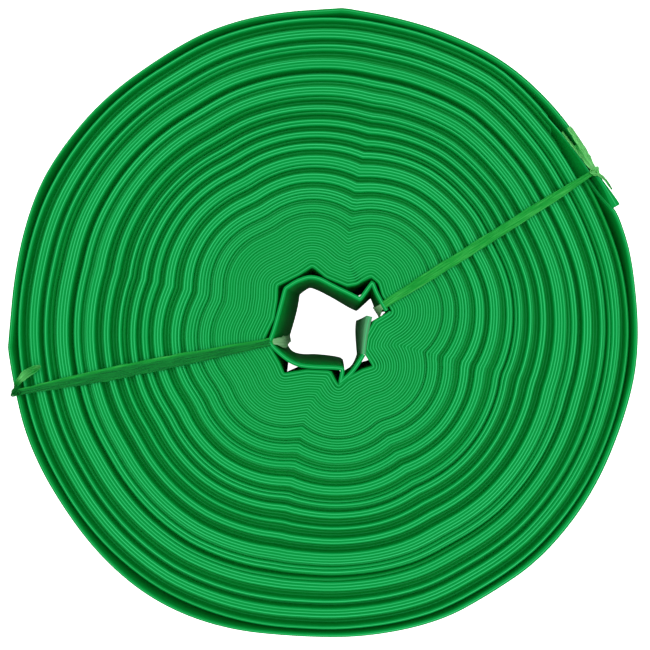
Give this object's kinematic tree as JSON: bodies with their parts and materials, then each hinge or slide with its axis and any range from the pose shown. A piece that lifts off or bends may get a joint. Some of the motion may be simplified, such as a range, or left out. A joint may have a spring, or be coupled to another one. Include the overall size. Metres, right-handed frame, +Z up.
{
  "type": "soaker hose roll",
  "caption": "Lay-flat soaker hose wound flat like tape into a disc with a crumpled open centre, held by two knotted film ties.",
  "frame": {"origin": "centre of the overall box on the floor, under the middle of the roll", "axes": "+Z up along the winding axis; +X and +Y across the face, the two tie knots lie near +29 and +193 degrees from +X"},
  "size_m": [0.3775, 0.3764, 0.0882],
  "materials": {
    "hose_pvc": "satin woven-reinforced soft PVC, folded edges lighter",
    "tie_film": "thin fibrillated film, translucent, crinkled"
  },
  "bodies": {
    "roll": {"wound_turns": "hose_pvc", "loose_outer_turn": "hose_pvc", "loose_inner_turn": "hose_pvc", "left_tie_band": "tie_film", "left_tie_knot": "tie_film", "right_tie_band": "tie_film", "right_tie_knot": "tie_film", "right_tie_short_tail": "tie_film"},
    "outer_end": {"outer_end_flap": "hose_pvc"},
    "inner_end": {"inner_end_flap": "hose_pvc"},
    "left_tail": {"left_tie_tail": "tie_film"},
    "right_tail": {"right_tie_tail": "tie_film"}
  },
  "joints": [
    {"name": "outer_end_bend", "type": "hinge", "parent": "roll", "child": "outer_end", "pos_m": [0.16574, 0.08757, 0.0425], "axis": [0, 0, 1], "range_deg": [0, 60], "stiffness_Nm_per_rad": 0.02},
    {"name": "inner_end_bend", "type": "hinge", "parent": "roll", "child": "inner_end", "pos_m": [0.02235, -0.0196, 0.0425], "axis": [0, 0, 1], "range_deg": [0, 30], "stiffness_Nm_per_rad": 0.02},
    {"name": "left_tail_lift", "type": "hinge", "parent": "roll", "child": "left_tail", "pos_m": [-0.18074, -0.03867, 0.0865], "axis": [0.7071, -0.7071, 0], "range_deg": [0, 90]},
    {"name": "right_tail_lift", "type": "hinge", "parent": "roll", "child": "right_tail", "pos_m": [0.16038, 0.09474, 0.0865], "axis": [0.8434, 0.5373, 0], "range_deg": [0, 90]}
  ]
}
